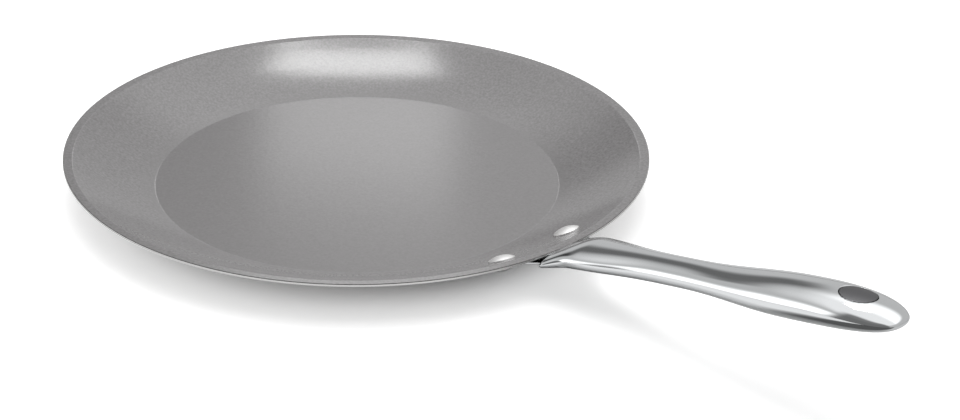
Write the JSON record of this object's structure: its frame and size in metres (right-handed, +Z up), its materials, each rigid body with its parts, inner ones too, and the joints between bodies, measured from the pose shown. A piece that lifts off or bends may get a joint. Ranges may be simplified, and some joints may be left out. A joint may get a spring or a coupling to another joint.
{
  "type": "crepe pan",
  "caption": "Low round pan with a ceramic coat inside, sloping wall, flat lip, thick flat base and a riveted polished steel handle with a hanging hole.",
  "frame": {"origin": "on the pan's axis, in the plane of the base's underside", "axes": "+X along the handle away from the pan, +Z up out of the pan, +Y to the left of the handle seen from above with the handle pointing away"},
  "size_m": [0.4283, 0.26, 0.0581],
  "materials": {
    "shell_steel": "polished",
    "ceramic_coat": "semi-gloss",
    "disc_aluminium": "satin",
    "cap_steel": "brushed",
    "handle_steel": "mirror polished",
    "rivet_steel": "satin"
  },
  "bodies": {
    "root": {"pan_shell": "shell_steel", "ceramic_coating": "ceramic_coat", "base_disc": "disc_aluminium", "base_cap": "cap_steel", "handle": "handle_steel", "rivet_left": "rivet_steel", "rivet_right": "rivet_steel"}
  },
  "joints": []
}
